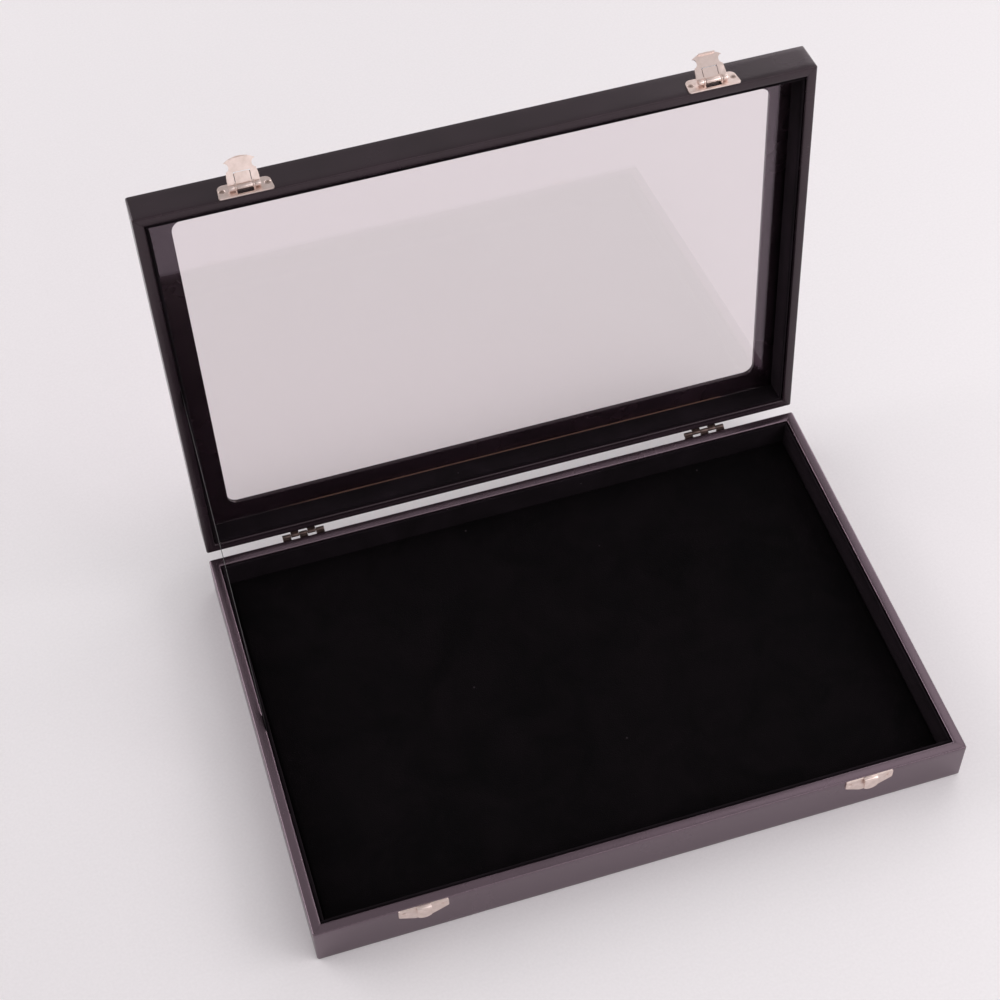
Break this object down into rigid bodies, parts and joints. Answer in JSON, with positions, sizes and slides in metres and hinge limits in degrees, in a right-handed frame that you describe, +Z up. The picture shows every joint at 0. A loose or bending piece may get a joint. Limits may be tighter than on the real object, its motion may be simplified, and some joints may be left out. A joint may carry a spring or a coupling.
{
  "type": "coin display case",
  "caption": "Flat hinged display case with a glass window lid, velvet-lined tray, butt hinges, ribbon lid stay and snap latches.",
  "frame": {"origin": "centre of the base's underside", "axes": "+X to the right along the case's long side, +Y to the hinged back, +Z up"},
  "size_m": [0.35, 0.2855, 0.2829],
  "materials": {
    "board": "raw fibreboard",
    "leatherette": "fine-grained black leatherette, semi-matt",
    "velvet": "black flocked velvet",
    "floor_velvet": "black flocked velvet over foam",
    "card": "raw brown card",
    "under_paper": "black paper",
    "pane": "clear float glass",
    "nickel": "bright nickel plate on stamped steel",
    "screw_steel": "nickel-plated screws",
    "ribbon": "black satin ribbon"
  },
  "bodies": {
    "base": {"base_front_wall": "board", "base_liner_front": "velvet", "base_rear_wall": "board", "base_liner_rear": "velvet", "base_left_wall": "board", "base_liner_left": "velvet", "base_right_wall": "board", "base_liner_right": "velvet", "base_leatherette": "leatherette", "base_hinge_screws": "screw_steel", "base_under_sheet": "under_paper", "base_bottom_board": "board", "base_floor_card": "card", "base_floor_pad": "floor_velvet", "catch_screws": "screw_steel", "lid_stay_ribbon": "ribbon", "catch_plate_left": "nickel", "base_hinge_leaf_left": "nickel", "hinge_pin_left": "nickel", "catch_plate_right": "nickel", "base_hinge_leaf_right": "nickel", "hinge_pin_right": "nickel"},
    "lid": {"lid_front_wall": "board", "lid_liner_front": "velvet", "lid_rear_wall": "board", "lid_liner_rear": "velvet", "lid_left_wall": "board", "lid_liner_left": "velvet", "lid_right_wall": "board", "lid_liner_right": "velvet", "lid_leatherette": "leatherette", "lid_hinge_screws": "screw_steel", "latch_screws": "screw_steel", "lid_window_panel": "board", "lid_glass": "pane", "glass_packing_strip": "card", "lid_hinge_leaf_left": "nickel", "latch_plate_left": "nickel", "latch_pin_left": "nickel", "lid_hinge_leaf_right": "nickel", "latch_plate_right": "nickel", "latch_pin_right": "nickel"},
    "lever_left": {"latch_lever_left": "nickel", "latch_tongue_left": "nickel"},
    "lever_right": {"latch_lever_right": "nickel", "latch_tongue_right": "nickel"}
  },
  "joints": [
    {"name": "lid_hinge", "type": "hinge", "parent": "base", "child": "lid", "pos_m": [0, 0.1223, 0.02725], "axis": [1, 0, 0], "range_deg": [0, 95], "deforming": ["lid_stay_ribbon"]},
    {"name": "latch_left", "type": "hinge", "parent": "lid", "child": "lever_left", "pos_m": [-0.1186, 0.14808, 0.27083], "axis": [1, 0, 0], "range_deg": [-54, 120]},
    {"name": "latch_right", "type": "hinge", "parent": "lid", "child": "lever_right", "pos_m": [0.1203, 0.14808, 0.27083], "axis": [1, 0, 0], "range_deg": [-36, 138]}
  ]
}
